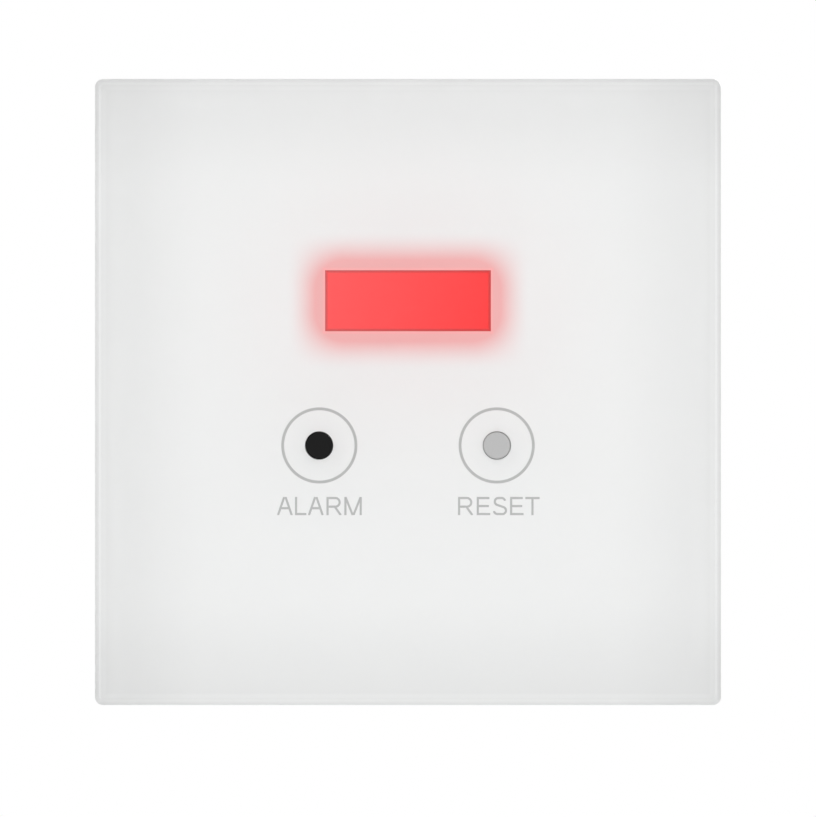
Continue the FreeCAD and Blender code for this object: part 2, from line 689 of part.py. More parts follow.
def make_link():
    socket_height = "(link_space - link_base)"
    make_link_block("link_header", f"{BOARD_BACK} - link_base", "link_base", "link_base")
    make_link_block("link_socket", MAIN_FRONT, socket_height, "link_depth + pin_tip")
    pins = []
    for number in range(SIZES_BY_NAME["link_count"]):
        right = row_place(number, "link_count", "link_pitch")
        low = f"{BOARD_BACK} - link_base - link_depth"
        length = "link_base + link_depth"
        pins.append(make_box("LinkPin", "link_pin", "link_pin", length, right, low, "-link_down"))
    group("link_pins", pins)


# The main board and its parts


def make_main_board():
    body = new_body("main_board")
    plate(body, MAIN_SIDE, MAIN_BACK, "board_thickness", f"{CAVITY_CORNER} - main_gap")


def make_relay():
    body = new_body("relay", "-relay_left", MAIN_FRONT, "relay_up")
    sketch = new_sketch(body, "Outline", "0")
    draw_rectangle(sketch, "relay_length", "relay_width")
    block = pad(body, sketch, "relay_height", "Block")
    chamfer(body, block, upright, "relay_corner", "Corners")


def make_capacitors():
    cans = []
    for side in ("-", "+"):
        right = f"can_right {side} can_pitch / 2"
        can = make_bar("Can", "can_diameter", "can_height", right, MAIN_FRONT, "can_up")
        cans.append(can)
    group("capacitors", cans)


def make_regulator():
    body = new_body("regulator", "regulator_right", MAIN_FRONT, "regulator_up")
    block = pad(body, square_sketch(body, "regulator_side", "0"), "regulator_height", "Block")
    chamfer(body, block, at_height(block, True), "chip_edge", "MouldEdge")


def make_wiring_header():
    length = "(pole_count * pole_pitch + 2 * header_end)"
    body = new_body("wiring_header", "0", f"{MAIN_BACK} - header_depth", "header_up")
    outline = new_sketch(body, "Outline", "0")
    draw_rectangle(outline, length, "header_height")
    pad(body, outline, "header_depth", "Block")
    mouth = new_sketch(body, "Mouth", "0")
    draw_rectangle(mouth, f"{length} - 2 * header_wall", "header_height - 2 * header_wall")
    pocket(body, mouth, "header_depth - header_floor", toward_room=True, name="MouthCut")
    holes = new_sketch(body, "PinHole", "header_depth")
    side = "pin_width + 2 * pin_gap"
    first = row_start("pole_count", "pole_pitch")
    draw_rectangle(holes, side, side, first)
    hole = pocket(body, holes, name="HoleCut")
    row(body, hole, holes, "pole_count", "pole_pitch")
    grooves = new_sketch(body, "Groove", "0")
    draw_rectangle(grooves, "groove_width", "2 * groove_depth", first, "header_height / 2")
    groove = pocket(body, grooves, "header_depth - header_floor", toward_room=True, name="GrooveCut")
    row(body, groove, grooves, "pole_count", "pole_pitch")


def make_wiring_pins():
    pins = []
    length = "header_depth - pin_tip"
    for number in range(SIZES_BY_NAME["pole_count"]):
        right = row_place(number, "pole_count", "pole_pitch")
        pins.append(make_box("WiringPin", "pin_width", "pin_width", length, right,
                             f"{MAIN_BACK} - header_depth + pin_tip", "header_up"))
    group("wiring_pins", pins)


# The housing, the plate and the screws


def make_rear_housing():
    body = new_body("rear_housing")
    slab = plate(body, "housing_side", HOUSING_BACK, "housing_depth", "housing_corner")
    chamfer(body, slab, at_height(slab, False), "housing_edge", "BackEdge")
    ears = new_sketch(body, "Ears", "-ear_depth")
    ear_length = "2 * ear_reach"
    for side in ("", "-"):
        draw_rounded(ears, "ear_width", ear_length, "ear_corner", up=f"{side}(housing_side / 2)")
    pad(body, ears, "ear_depth", "EarPad")
    inside = new_sketch(body, "Inside", "0")
    draw_rounded(inside, CAVITY_SIDE, CAVITY_SIDE, CAVITY_CORNER)
    pocket(body, inside, f"-{FLOOR_FRONT}", name="Hollow")
    pilots = new_sketch(body, "EarPilots", "0")
    for side in ("", "-"):
        draw_circle(pilots, PILOT, up=f"{side}{EAR_PLACE}")
    pocket(body, pilots, "housing_screw_length - plate_thickness + screw_slack", name="EarHoles")
    add_board_seat(body)
    cut_housing_back(body)


def add_board_seat(body):
    """Four rests under the main board and four snap nibs over its side edges."""
    rests = new_sketch(body, "Rests", f"{FLOOR_FRONT} - housing_wall / 2")
    for left, low in SCREWED_CORNERS + PLAIN_CORNERS:
        draw_rectangle(rests, "rest_side", "rest_side", f"{left}rest_place", f"{low}rest_place")
    pad(body, rests, "stand_height + housing_wall / 2", "RestPad")
    low = f"({MAIN_FRONT} + nib_gap)"
    for row_side in ("", "-"):
        nibs = new_sketch(body, "Nibs", f"{row_side}nib_place", role="XZ_Plane")
        for side in ("", "-"):
            wall = f"{side}{CAVITY_SIDE} / 2"
            root = f"{side}({CAVITY_SIDE} + housing_wall) / 2"
            tip = f"{side}({CAVITY_SIDE} / 2 - nib_reach)"
            high = f"{low} + nib_rise"
            draw_path(nibs, ((root, low), (tip, low), (wall, high), (root, high)))
        pad(body, nibs, "nib_width", "NibPad").SideType = "Symmetric"


def cut_housing_back(body):
    """The way out for the wiring header, and a row of vent slots below it."""
    openings = new_sketch(body, "HeaderOpening", FLOOR_FRONT)
    width = "pole_count * pole_pitch + 2 * header_end + 2 * header_gap"
    draw_rectangle(openings, width, "header_height + 2 * header_gap", up="header_up")
    pocket(body, openings, name="HeaderCut")
    vents = new_sketch(body, "Vent", FLOOR_FRONT)
    draw_rectangle(vents, "vent_width", "vent_height", up="-vent_down")
    vent = pocket(body, vents, name="VentCut")
    row(body, vent, vents, "vent_count", "vent_pitch", "V_Axis")


def make_mounting_plate():
    body = new_body("mounting_plate")
    cropped_plate(body, PLATE_SIDE, "0", "plate_thickness", "plate_corner")
    inside = new_sketch(body, "Inside", "plate_thickness")
    draw_rounded(inside, PLATE_OPENING, PLATE_OPENING, f"{CAVITY_CORNER} - plate_clearance")
    pocket(body, inside, name="Opening")
    cut_wall_slots(body)
    holes = new_sketch(body, "HousingHoles", "plate_thickness")
    for side in ("", "-"):
        draw_circle(holes, SCREW_HOLE, up=f"{side}{EAR_PLACE}")
    pocket(body, holes, name="HoleCut")
    add_plate_tabs(body)


def cut_wall_slots(body):
    """Two slots along x: a straight middle, then the round end on each side of it."""
    straight = "(fixing_length - fixing_width)"
    middles = new_sketch(body, "SlotMiddles", "plate_thickness")
    for side in ("", "-"):
        draw_rectangle(middles, straight, "fixing_width", f"{side}fixing_spacing / 2")
    pocket(body, middles, name="MiddleCut")
    for beside in ("+", "-"):
        ends = new_sketch(body, "SlotEnds", "plate_thickness")
        for side in ("", "-"):
            draw_circle(ends, "fixing_width", f"{side}fixing_spacing / 2 {beside} {straight} / 2")
        pocket(body, ends, name="EndCut")


def along_tab(height, place):
    """Test for the edges as wide as a tab, at a height and a distance from the level centre line."""
    def chosen(edge):
        box = edge.BoundBox
        wide = abs(box.XLength - SIZES_BY_NAME["tab_width"]) < FINE
        level = box.ZLength < FINE and abs(box.ZMin - height) < FINE
        return wide and level and abs(max(box.YMax, -box.YMin) - place) < FINE
    return chosen


def add_plate_tabs(body):
    """Bent tabs above and below, each with a window for a barb and a relief cut on each side."""
    edge = f"({PLATE_SIDE} / 2)"
    for turn in ("", "-"):
        tabs = new_sketch(body, "Tabs", f"{turn}leg_spacing / 2", role="YZ_Plane")
        for side in ("", "-"):
            draw_rectangle(tabs, "plate_thickness", "tab_height", f"{side}({edge} - plate_thickness / 2)",
                           "tab_height / 2")
        pad(body, tabs, "tab_width", "TabPad").SideType = "Symmetric"
    reliefs = new_sketch(body, "Reliefs", "plate_thickness")
    for turn in ("", "-"):
        for side in ("", "-"):
            for beside in ("+", "-"):
                place = f"{turn}leg_spacing / 2 {beside} (tab_width + relief_width) / 2"
                draw_rectangle(reliefs, "relief_width", "2 * relief_depth", place, f"{side}{edge}")
    cuts = pocket(body, reliefs, name="ReliefCut")
    outer = solved(cuts).Shape.BoundBox.YMax
    thickness = SIZES_BY_NAME["plate_thickness"]
    outside = fillet(body, cuts, along_tab(0, outer), "bend_outside", "OuterBends")
    fillet(body, outside, along_tab(thickness, outer - thickness), "bend_inside", "InnerBends")
    windows = new_sketch(body, "TabWindows", "0", role="XZ_Plane")
    for turn in ("", "-"):
        draw_rectangle(windows, "leg_width + 2 * tab_margin", "tab_window", f"{turn}leg_spacing / 2",
                       "tab_height - tab_lip - tab_window / 2")
    window = pocket(body, windows, name="WindowCut")
    window.SideType = "Symmetric"


def make_screw(name, length, right, height, up, facing):
    """A screw: its head stands on the given height and its shank runs the other way."""
    head = doc.addObject("Part::Cylinder", name + "Head")
    tie(head, Radius="screw_head / 2", Height="screw_head_height")
    shank = doc.addObject("Part::Cylinder", name + "Shank")
    tie(shank, Radius="screw_diameter / 2", Height=length)
    shank.setExpression("Placement.Base.z", tied(f"-({length})"))
    screw = doc.addObject("Part::Fuse", name)
    screw.Base, screw.Tool = head, shank
    stand(screw, right, height, up, facing)
    return screw


def make_screws():
    posts = [make_screw("BoardScrew", "screw_length", f"{left}post_right", BOARD_BACK, f"{low}post_up", "wall")
             for left, low in SCREWED_CORNERS]
    group("control_board_screws", posts)
    ears = [make_screw("HousingScrew", "housing_screw_length", "0", "plate_thickness", f"{side}{EAR_PLACE}", "room")
            for side in ("", "-")]
    group("housing_screws", ears)


def check_and_export():
    """Write one file for each piece, once every feature and every solid is sound."""
    doc.recompute()
    failed = [item.Name for item in doc.Objects if "Invalid" in item.State or "Error" in item.State]
    if failed:
        raise RuntimeError(f"features that failed: {failed}")
    for piece in pieces:
        if piece.Shape.isNull() or not piece.Shape.isValid():
            raise RuntimeError(f"piece without a sound shape: {piece.Label}")
    os.makedirs("parts", exist_ok=True)
    for piece in pieces:
        piece.Shape.exportStep(f"parts/{piece.Label}.step")


fill_sheet()
make_front_glass()
make_back_print()
make_adhesive_frame()
make_window_lens()
make_front_frame()
for key in KEY_PLACES:
    make_plunger(key)
    make_switch(key)
make_control_board()
make_light_box()
make_indicator_leds()
make_buzzer()
make_controller_chip()
make_link()
make_main_board()
make_relay()
make_capacitors()
make_regulator()
make_wiring_header()
make_wiring_pins()
make_rear_housing()
make_mounting_plate()
make_screws()
check_and_export()
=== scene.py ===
import math

import bmesh
import bpy
from bpy.props import FloatProperty, FloatVectorProperty, PointerProperty, StringProperty
from mathutils import Matrix, Vector


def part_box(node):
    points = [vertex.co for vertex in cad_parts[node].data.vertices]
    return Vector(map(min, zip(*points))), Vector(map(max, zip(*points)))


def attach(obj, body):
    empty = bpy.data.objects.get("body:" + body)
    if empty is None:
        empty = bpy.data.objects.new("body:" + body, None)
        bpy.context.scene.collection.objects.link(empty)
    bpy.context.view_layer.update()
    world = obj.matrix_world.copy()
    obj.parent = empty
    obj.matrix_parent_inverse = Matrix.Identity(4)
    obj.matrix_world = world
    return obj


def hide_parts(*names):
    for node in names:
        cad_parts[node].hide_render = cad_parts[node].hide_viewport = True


bl_info = {
    "name": "Alarm display panel",
    "version": (1, 0, 0),
    "blender": (4, 5, 0),
    "location": "3D View > Sidebar > Alarm Panel",
    "description": "Dresses the packed alarm display panel: glass, print, lit window, keys and the parts behind",
    "category": "Object",
}

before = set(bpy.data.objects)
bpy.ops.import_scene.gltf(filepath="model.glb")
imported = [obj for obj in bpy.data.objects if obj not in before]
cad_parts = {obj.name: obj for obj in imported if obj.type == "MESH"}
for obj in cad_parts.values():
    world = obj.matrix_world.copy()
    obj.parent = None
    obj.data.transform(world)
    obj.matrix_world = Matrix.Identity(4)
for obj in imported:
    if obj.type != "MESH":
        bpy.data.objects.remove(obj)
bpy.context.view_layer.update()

MM = 0.001

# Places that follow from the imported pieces, in metres.
GLASS_LOW, GLASS_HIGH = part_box("front_glass")
PRINT_LOW, PRINT_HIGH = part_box("back_print")
ALARM_CENTRE = sum(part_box("alarm_plunger"), Vector()) / 2
RESET_CENTRE = sum(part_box("reset_plunger"), Vector()) / 2
LENS_CENTRE = sum(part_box("window_lens"), Vector()) / 2
PRINT_HALF = PRINT_HIGH.x

# Corner radius of the glass, seen from the front.
GLASS_CORNER = 1.1 * MM

# The inks wet the glass: the white one starts just inside its back, and the grey one stands on the white one's front.
WETTING = 0.02 * MM
WHITE_FRONT = GLASS_HIGH.y - WETTING
INK_THICKNESS = 0.015 * MM


class PrintSettings(bpy.types.PropertyGroup):
    """The print behind the glass."""

    white: FloatVectorProperty(
        name="White", description="Colour of the white print in the middle of the panel",
        subtype="COLOR", default=(0.93, 0.93, 0.93), min=0, max=1)
    grey: FloatVectorProperty(
        name="Grey", description="Colour of the rings and the words",
        subtype="COLOR", default=(0.52, 0.52, 0.52), min=0, max=1)
    ring_diameter: FloatProperty(
        name="Ring diameter", description="Outer diameter of the ring round a key",
        subtype="DISTANCE", unit="LENGTH", default=10.46 * MM)
    ring_line: FloatProperty(
        name="Ring line", description="Width of the ring's line",
        subtype="DISTANCE", unit="LENGTH", default=0.38 * MM)
    word_height: FloatProperty(
        name="Word height", description="Height of the capitals under the keys",
        subtype="DISTANCE", unit="LENGTH", default=2.5 * MM)
    word_drop: FloatProperty(
        name="Word drop", description="Middle of a word below its key's centre",
        subtype="DISTANCE", unit="LENGTH", default=8.34 * MM)
    alarm_word_width: FloatProperty(
        name="Left word's width", description="Width of the word under the left key",
        subtype="DISTANCE", unit="LENGTH", default=11.68 * MM)
    reset_word_width: FloatProperty(
        name="Right word's width", description="Width of the word under the right key",
        subtype="DISTANCE", unit="LENGTH", default=11.22 * MM)
    reset_word_shift: FloatProperty(
        name="Right word's shift", description="Middle of the right word to the right of its key's centre",
        subtype="DISTANCE", unit="LENGTH", default=0.29 * MM)
    alarm_word: StringProperty(
        name="Left word", description="Function of the left key", default="ALARM")
    reset_word: StringProperty(
        name="Right word", description="Function of the right key", default="RESET")


class WindowSettings(bpy.types.PropertyGroup):
    """The lit window and its glow in the print."""

    width: FloatProperty(
        name="Width", description="Clear width of the window",
        subtype="DISTANCE", unit="LENGTH", default=22.8 * MM)
    height: FloatProperty(
        name="Height", description="Clear height of the window",
        subtype="DISTANCE", unit="LENGTH", default=8.4 * MM)
    left: FloatVectorProperty(
        name="Left light", description="Light of the window's left end",
        subtype="COLOR", default=(1.0, 0.057, 0.061), min=0, max=1)
    right: FloatVectorProperty(
        name="Right light", description="Light of the window's right end",
        subtype="COLOR", default=(1.0, 0.006, 0.008), min=0, max=1)
    # The dimmer edge is a painted shadow in the lens's light.
    edge: FloatProperty(
        name="Dim edge", description="Width of the dimmer edge inside the window",
        subtype="DISTANCE", unit="LENGTH", default=0.65 * MM)
    glow_start: FloatProperty(
        name="Glow's start", description="How far inside the window's edge the light begins to fall off",
        subtype="DISTANCE", unit="LENGTH", default=2.75 * MM)
    glow_end: FloatProperty(
        name="Glow's end", description="How far outside the window's edge the glow ends",
        subtype="DISTANCE", unit="LENGTH", default=5.5 * MM)


class StageSettings(bpy.types.PropertyGroup):
    """Light, floor and camera."""

    surround: FloatProperty(
        name="Surround", description="Strength of the white light from all sides", default=0.72, min=0)
    key_power: FloatProperty(
        name="Main lights", description="Power of each of the two large soft lights in front",
        subtype="POWER", unit="POWER", default=2.6, min=0)
    top_power: FloatProperty(
        name="Upper light", description="Power of the soft light in front and above",
        subtype="POWER", unit="POWER", default=1.3, min=0)
    back_power: FloatProperty(
        name="Rear light", description="Power of the soft light behind the panel",
        subtype="POWER", unit="POWER", default=5.0, min=0)
    floor_drop: FloatProperty(
        name="Floor", description="Floor's distance below the panel's centre",
        subtype="DISTANCE", unit="LENGTH", default=0.6)
    lens: FloatProperty(
        name="Lens", description="Focal length of the camera in millimetres", default=400.0, min=1)
    picture_height: FloatProperty(
        name="Picture height", description="Height that the picture takes in at the glass",
        subtype="DISTANCE", unit="LENGTH", default=112.15 * MM)
    picture_centre: FloatProperty(
        name="Picture centre", description="Middle of the picture above the panel's centre",
        subtype="DISTANCE", unit="LENGTH", default=-2.27 * MM)


# Node helpers


def new_material(name):
    """A material with one Principled shader on its output."""
    material = bpy.data.materials.new(name)
    material.use_nodes = True
    tree = material.node_tree
    tree.nodes.clear()
    output = tree.nodes.new("ShaderNodeOutputMaterial")
    shader = tree.nodes.new("ShaderNodeBsdfPrincipled")
    tree.links.new(shader.outputs["BSDF"], output.inputs["Surface"])
    return material, shader


def feed(material, value, socket):
    """Link a node's output to a socket, or set the number on it."""
    if isinstance(value, bpy.types.NodeSocket):
        material.node_tree.links.new(value, socket)
    else:
        socket.default_value = value


def maths(material, operation, first, second=0.0, clamp=False):
    """One step of arithmetic, held between 0 and 1 if clamp says so."""
    node = material.node_tree.nodes.new("ShaderNodeMath")
    node.operation = operation
    node.use_clamp = clamp
    feed(material, first, node.inputs[0])
    feed(material, second, node.inputs[1])
    return node.outputs[0]


def product(material, first, *others):
    """All the values multiplied together."""
    for other in others:
        first = maths(material, "MULTIPLY", first, other)
    return first


def size_of(material, value):
    """A value without its sign."""
    return maths(material, "ABSOLUTE", value)


def remap(material, value, low, high, start, end, smooth=False):
    """A value's range from low to high moved onto the range from start to end, and held there."""
    node = material.node_tree.nodes.new("ShaderNodeMapRange")
    node.interpolation_type = "SMOOTHSTEP" if smooth else "LINEAR"
    settings = {"Value": value, "From Min": low, "From Max": high, "To Min": start, "To Max": end}
    for name, setting in settings.items():
        feed(material, setting, node.inputs[name])
    return node.outputs["Result"]


def here(material):
    """The point on the piece, in object coordinates."""
    return material.node_tree.nodes.new("ShaderNodeTexCoord").outputs["Object"]


def by_axis(material, vector):
    """A point's X, Y and Z."""
    split = material.node_tree.nodes.new("ShaderNodeSeparateXYZ")
    feed(material, vector, split.inputs[0])
    return split.outputs


def stretched(material, vector, scale):
    """A point scaled differently along each axis."""
    mapping = material.node_tree.nodes.new("ShaderNodeMapping")
    mapping.inputs["Scale"].default_value = scale
    feed(material, vector, mapping.inputs["Vector"])
    return mapping.outputs["Vector"]


def noise(material, vector, scale, detail=3.0):
    """A cloudy pattern, with its scale in repeats a metre."""
    node = material.node_tree.nodes.new("ShaderNodeTexNoise")
    node.inputs["Scale"].default_value = scale
    node.inputs["Detail"].default_value = detail
    feed(material, vector, node.inputs["Vector"])
    return node.outputs["Fac"]


def over_range(material, pattern, start, end):
    """A cloudy pattern spread over the range from start to end."""
    usual_low, usual_high = 0.3, 0.7
    return remap(material, pattern, usual_low, usual_high, start, end)


def cells(material, vector, scale, output="Color"):
    """A pattern of cells, each with a colour of its own, or each point's distance from its cell's heart."""
    node = material.node_tree.nodes.new("ShaderNodeTexVoronoi")
    node.inputs["Scale"].default_value = scale
    feed(material, vector, node.inputs["Vector"])
    return node.outputs[output]


def tones(material, value, dark, light):
    """A colour between two colours, by a value from 0 to 1."""
    first_colour, second_colour, mixed_colour = 6, 7, 2
    node = material.node_tree.nodes.new("ShaderNodeMix")
    node.data_type = "RGBA"
    feed(material, value, node.inputs["Factor"])
    node.inputs[first_colour].default_value = (*dark, 1)
    node.inputs[second_colour].default_value = (*light, 1)
    return node.outputs[mixed_colour]


def relief(material, shader, height, distance):
    """Bump the surface by a height pattern, at a real distance."""
    node = material.node_tree.nodes.new("ShaderNodeBump")
    node.inputs["Strength"].default_value = 1.0
    node.inputs["Distance"].default_value = distance
    feed(material, height, node.inputs["Height"])
    feed(material, node.outputs["Normal"], shader.inputs["Normal"])


def cast_no_shadow(material):
    """Let light on its way to what lies behind go straight through."""
    nodes = material.node_tree.nodes
    path = nodes.new("ShaderNodeLightPath")
    clear = nodes.new("ShaderNodeBsdfTransparent")
    mix = nodes.new("ShaderNodeMixShader")
    feed(material, path.outputs["Is Shadow Ray"], mix.inputs[0])
    feed(material, nodes["Principled BSDF"].outputs["BSDF"], mix.inputs[1])
    feed(material, clear.outputs["BSDF"], mix.inputs[2])
    feed(material, mix.outputs["Shader"], nodes["Material Output"].inputs["Surface"])


def shaded(colour, amount):
    """A colour made darker or lighter."""
    return tuple(channel * amount for channel in colour)


def mottle(material, shader, pattern, colour, darkest, lightest):
    """Vary the surface's colour by a pattern, from its darkest to its lightest share of the colour."""
    tone = tones(material, pattern, shaded(colour, darkest), shaded(colour, lightest))
    feed(material, tone, shader.inputs["Base Color"])


def dress(material, *nodes):
    """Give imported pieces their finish."""
    for node in nodes:
        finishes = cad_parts[node].data.materials
        finishes.clear()
        finishes.append(material)


# Finishes


def moulded_plastic(name, colour, roughness, grains, depth, specular=0.5):
    """Moulded plastic: fine eroded grain, in grains a metre, and a faint cloudiness from the mould."""
    cloud_scale, cloud_contrast, gloss_contrast, detail = 60.0, 0.03, 0.06, 2.0
    material, shader = new_material(name)
    vector = here(material)
    cloud = noise(material, vector, cloud_scale, detail)
    mottle(material, shader, cloud, colour, 1 - cloud_contrast, 1 + cloud_contrast)
    grain = noise(material, vector, grains, detail)
    gloss = over_range(material, grain, roughness - gloss_contrast, roughness + gloss_contrast)
    feed(material, gloss, shader.inputs["Roughness"])
    relief(material, shader, grain, depth)
    shader.inputs["Specular IOR Level"].default_value = specular
    return material


def key_plastic(name, colour, specular):
    """A key's moulded plastic. Light inside the glass never meets its shaft, because the hole's wall mirrors it."""
    material = moulded_plastic(name, colour, roughness=0.5, grains=5000.0, depth=0.004 * MM, specular=specular)
    cast_no_shadow(material)
    return material


def sheet_metal(name, colour, roughness, along):
    """Rolled or drawn metal with fine lines along one axis."""
    along_scale, across_scale, detail, scratch_depth = 300.0, 9000.0, 4.0, 0.004 * MM
    darkest, lightest, polish, scuff = 0.85, 1.05, 0.08, 0.1
    material, shader = new_material(name)
    shader.inputs["Metallic"].default_value = 1.0
    scale = tuple(along_scale if axis == along else across_scale for axis in "xyz")
    lines = noise(material, stretched(material, here(material), scale), 1.0, detail)
    mottle(material, shader, lines, colour, darkest, lightest)
    feed(material, over_range(material, lines, roughness - polish, roughness + scuff), shader.inputs["Roughness"])
    relief(material, shader, lines, scratch_depth)
    return material


def galvanised_steel(name, colour):
    """Zinc-coated sheet: flat crystals of slightly different brightness."""
    crystal_scale, grain_scale, grain_depth = 560.0, 2500.0, 0.006 * MM
    darkest, lightest, smoothest, roughest = 0.86, 1.06, 0.34, 0.52
    material, shader = new_material(name)
    shader.inputs["Metallic"].default_value = 1.0
    vector = here(material)
    crystals = material.node_tree.nodes.new("ShaderNodeSeparateColor")
    feed(material, cells(material, vector, crystal_scale), crystals.inputs["Color"])
    level = crystals.outputs["Red"]
    mottle(material, shader, level, colour, darkest, lightest)
    feed(material, remap(material, level, 0.0, 1.0, smoothest, roughest), shader.inputs["Roughness"])
    relief(material, shader, noise(material, vector, grain_scale), grain_depth)
    return material


def solder_mask(name, colour):
    """Green board: glass cloth under the lacquer and faint tracks."""
    weave_scale, weave_share, track_scale, track_gain, depth = 400.0, 0.3, 120.0, 1.7, 0.012 * MM
    smoothest, roughest = 0.28, 0.36
    material, shader = new_material(name)
    vector = here(material)
    weave = material.node_tree.nodes.new("ShaderNodeTexWave")
    weave.wave_type = "BANDS"
    weave.inputs["Scale"].default_value = weave_scale
    weave.inputs["Distortion"].default_value = 0.6
    feed(material, vector, weave.inputs["Vector"])
    tracks = material.node_tree.nodes.new("ShaderNodeTexBrick")
    tracks.inputs["Scale"].default_value = track_scale
    tracks.inputs["Mortar Size"].default_value = 0.06
    tracks.inputs["Color1"].default_value = (0.0, 0.0, 0.0, 1)
    tracks.inputs["Color2"].default_value = (0.12, 0.12, 0.12, 1)
    tracks.inputs["Mortar"].default_value = (1, 1, 1, 1)
    flat = material.node_tree.nodes.new("ShaderNodeCombineXYZ")
    parts = by_axis(material, vector)
    feed(material, parts["X"], flat.inputs["X"])
    feed(material, parts["Z"], flat.inputs["Y"])
    feed(material, flat.outputs[0], tracks.inputs["Vector"])
    mottle(material, shader, tracks.outputs["Color"], colour, 1.0, track_gain)
    feed(material, remap(material, weave.outputs["Fac"], 0.0, 1.0, smoothest, roughest), shader.inputs["Roughness"])
    cloth = product(material, weave.outputs["Fac"], weave_share)
    relief(material, shader, maths(material, "ADD", cloth, tracks.outputs["Color"]), depth)
    return material


def foam_tape(name, colour):
    """Closed-cell foam: small pits."""
    pit_scale, pit_depth, darkest, lightest = 3500.0, 0.05 * MM, 0.7, 1.3
    material, shader = new_material(name)
    pits = cells(material, here(material), pit_scale, "Distance")
    mottle(material, shader, pits, colour, darkest, lightest)
    shader.inputs["Roughness"].default_value = 0.85
    relief(material, shader, pits, pit_depth)
    return material


def outermost(material, parts):
    """The larger of a point's distances from the panel's two centre lines."""
    return maths(material, "MAXIMUM", size_of(material, parts["X"]), size_of(material, parts["Z"]))


def past_corners(material, parts):
    """Distance from the square whose corners are the centres of the glass's corner radii, zero inside it."""
    squares = []
    for axis in ("X", "Z"):
        past = maths(material, "SUBTRACT", size_of(material, parts[axis]), GLASS_HIGH.x - GLASS_CORNER)
        past = maths(material, "MAXIMUM", past, 0.0)
        squares.append(product(material, past, past))
    return maths(material, "SQRT", maths(material, "ADD", *squares))


def panel_glass(name):
    """Clear glass that shows the print behind it, with painted shade that darkens it along its rim, and with finely
    ground sides.
    """
    clear_tone, painted_rim_shade_tone = (0.985, 0.995, 0.99), (0.84, 0.85, 0.845)
    rim_start, rim_full = 0.6 * MM, 0.3 * MM
    ground_start, ground_full, ground_roughness = 0.05 * MM, 0.02 * MM, 0.35
    wipe_scale, wipe_detail, wipe_low, wipe_high, wipe_roughness = 25.0, 4.0, 0.35, 0.75, 0.012
    material, shader = new_material(name)
    shader.inputs["IOR"].default_value = 1.5
    shader.inputs["Transmission Weight"].default_value = 1.0
    vector = here(material)
    parts = by_axis(material, vector)
    side = GLASS_HIGH.x
    # Painted shade: the glass's colour darkens along its rim, standing in for the shading of the rounded front edge.
    rim = remap(material, outermost(material, parts), side - rim_start, side - rim_full, 0.0, 1.0)
    feed(material, tones(material, rim, clear_tone, painted_rim_shade_tone), shader.inputs["Base Color"])
    wiped = noise(material, vector, wipe_scale, wipe_detail)
    wiped = remap(material, wiped, wipe_low, wipe_high, 0.0, wipe_roughness)
    ground = remap(material, past_corners(material, parts), GLASS_CORNER - ground_start, GLASS_CORNER - ground_full,
                   0.0, ground_roughness)
    feed(material, maths(material, "MAXIMUM", wiped, ground), shader.inputs["Roughness"])
    cast_no_shadow(material)
    return material


def beyond_window(material, parts, window):
    """How far a point lies beyond the window's upright and level edges, negative between them."""
    beyond = []
    for axis, centre, size in (("X", LENS_CENTRE.x, window.width), ("Z", LENS_CENTRE.z, window.height)):
        across = size_of(material, maths(material, "SUBTRACT", parts[axis], centre))
        beyond.append(maths(material, "SUBTRACT", across, size / 2))
    return beyond


def window_glow(material, beyond, window):
    """Strength of the glow in the print: full at the window, fading beside it and above or below it."""
    gain = 2.0
    fades = [remap(material, distance, -window.glow_start, window.glow_end, 1.0, 0.0, smooth=True)
             for distance in beyond]
    return maths(material, "MULTIPLY", product(material, *fades), gain, clamp=True)


def border_shade(material, coordinate):
    """How much the print darkens toward the panel's two edges across one axis."""
    reach, depth, power = 14.4 * MM, 0.102, 1.3
    distance = maths(material, "SUBTRACT", PRINT_HALF, size_of(material, coordinate))
    nearness = remap(material, distance, 0.0, reach, 1.0, 0.0)
    return product(material, maths(material, "POWER", nearness, power), depth)


def border_line(material, parts):
    """The fine bright line that the rounded edge throws onto the print, just inside its border."""
    rise_start, rise_end, fall_start, fall_end, gain = 0.4 * MM, 0.7 * MM, 1.0 * MM, 1.3 * MM, 0.035
    distance = maths(material, "SUBTRACT", PRINT_HALF, outermost(material, parts))
    rise = remap(material, distance, rise_start, rise_end, 0.0, 1.0)
    fall = remap(material, distance, fall_start, fall_end, 1.0, 0.0)
    return product(material, rise, fall, gain)


def white_ink(name, settings, window):
    """White print that glows pink round the window and shades off toward the border."""
    glow_loss, glow_gain = 0.485, 0.02
    edge_width, edge_glow_gain = 0.45 * MM, 0.13
    speck_scale, speck_contrast = 4000.0, 0.003
    material, shader = new_material(name)
    vector = here(material)
    parts = by_axis(material, vector)
    beyond = beyond_window(material, parts, window)
    glow = window_glow(material, beyond, window)
    # Painted glow: a bright red line in the print just outside the window's edge, fading out over edge_width.
    painted_edge_glow = remap(material, maths(material, "MAXIMUM", *beyond), 0.0, edge_width, edge_glow_gain, 0.0)
    shade = maths(material, "ADD", border_shade(material, parts["X"]), border_shade(material, parts["Z"]))
    light = maths(material, "SUBTRACT", maths(material, "ADD", border_line(material, parts), 1.0), shade)
    speck = over_range(material, noise(material, vector, speck_scale), 1 - speck_contrast, 1 + speck_contrast)
    level = product(material, light, speck)
    pale = maths(material, "SUBTRACT", 1.0, product(material, glow, glow_loss))
    red = maths(material, "ADD", 1.0, maths(material, "ADD", product(material, glow, glow_gain), painted_edge_glow))
    colour = material.node_tree.nodes.new("ShaderNodeCombineColor")
    for channel, strength, tone in zip(("Red", "Green", "Blue"), (red, pale, pale), settings.white):
        feed(material, product(material, level, strength, tone), colour.inputs[channel])
    feed(material, colour.outputs["Color"], shader.inputs["Base Color"])
    make_matt(shader)
    return material


